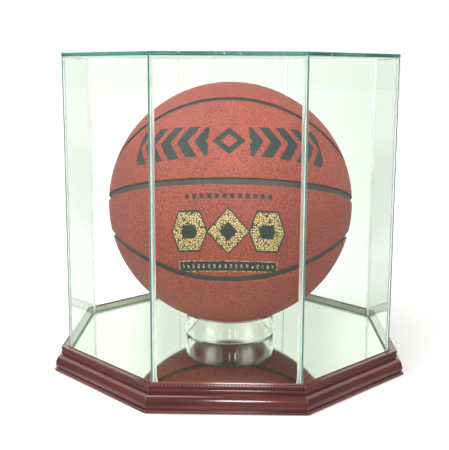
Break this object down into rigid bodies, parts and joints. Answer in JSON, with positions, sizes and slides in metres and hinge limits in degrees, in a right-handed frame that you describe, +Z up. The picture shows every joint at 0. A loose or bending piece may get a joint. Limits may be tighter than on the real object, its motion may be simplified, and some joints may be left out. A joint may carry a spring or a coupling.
{
  "type": "basketball display case",
  "caption": "Octagonal glass display case with a mirror floor in a moulded cherry wood base, and a basketball on a clear ring stand under a lift-off cover.",
  "frame": {"origin": "under the middle of the octagonal base, in the plane of the felt pads' soles", "axes": "+Z up, -Y towards the front pane, which the ball's face looks through, +X to the right seen from the front"},
  "size_m": [0.3332, 0.3332, 0.3008],
  "materials": {
    "lacquered_wood": "red-brown cherry stain under gloss lacquer",
    "float_glass": "clear float glass with green ground edges",
    "clear_silicone": "clear, smooth tooled bead",
    "silvered_glass": "polished, silvered behind",
    "hardboard": "pressed brown fibre, matt",
    "nail_steel": "plain",
    "pad_felt": "black pressed felt",
    "clear_acrylic": "clear, polished edges",
    "pebbled_leather": "red-brown pebbled composition leather, satin",
    "channel_rubber": "dark matt rubber"
  },
  "bodies": {
    "base": {"moulding_front": "lacquered_wood", "moulding_front_right": "lacquered_wood", "moulding_right": "lacquered_wood", "moulding_back_right": "lacquered_wood", "moulding_back": "lacquered_wood", "moulding_back_left": "lacquered_wood", "moulding_left": "lacquered_wood", "moulding_front_left": "lacquered_wood", "base_board": "hardboard", "mirror": "silvered_glass", "ring_stand": "clear_acrylic", "v_nail_front": "nail_steel", "v_nail_front_right": "nail_steel", "v_nail_right": "nail_steel", "v_nail_back_right": "nail_steel", "v_nail_back": "nail_steel", "v_nail_back_left": "nail_steel", "v_nail_left": "nail_steel", "v_nail_front_left": "nail_steel", "felt_pad_front_right": "pad_felt", "felt_pad_back_right": "pad_felt", "felt_pad_back_left": "pad_felt", "felt_pad_front_left": "pad_felt"},
    "cover": {"pane_front": "float_glass", "pane_front_right": "float_glass", "pane_right": "float_glass", "pane_back_right": "float_glass", "pane_back": "float_glass", "pane_back_left": "float_glass", "pane_left": "float_glass", "pane_front_left": "float_glass", "top_pane": "float_glass", "corner_seam_front": "clear_silicone", "corner_seam_front_right": "clear_silicone", "corner_seam_right": "clear_silicone", "corner_seam_back_right": "clear_silicone", "corner_seam_back": "clear_silicone", "corner_seam_back_left": "clear_silicone", "corner_seam_left": "clear_silicone", "corner_seam_front_left": "clear_silicone", "top_seam": "clear_silicone"},
    "ball": {"ball_carcass": "channel_rubber", "ball_valve": "channel_rubber", "ball_cover_upper_front": "pebbled_leather", "ball_crown_upper_front": "pebbled_leather", "ball_cover_upper_back": "pebbled_leather", "ball_crown_upper_back": "pebbled_leather", "ball_cover_lower_front": "pebbled_leather", "ball_crown_lower_front": "pebbled_leather", "ball_cover_lower_back": "pebbled_leather", "ball_crown_lower_back": "pebbled_leather"}
  },
  "joints": [
    {"name": "cover_lift", "type": "slide", "parent": "base", "child": "cover", "axis": [0, 0, 1], "range_m": [0, 0.28]},
    {"name": "ball_turn", "type": "hinge", "parent": "base", "child": "ball", "pos_m": [0, 0, 0.15483], "axis": [0, 0, 1], "continuous": true}
  ]
}
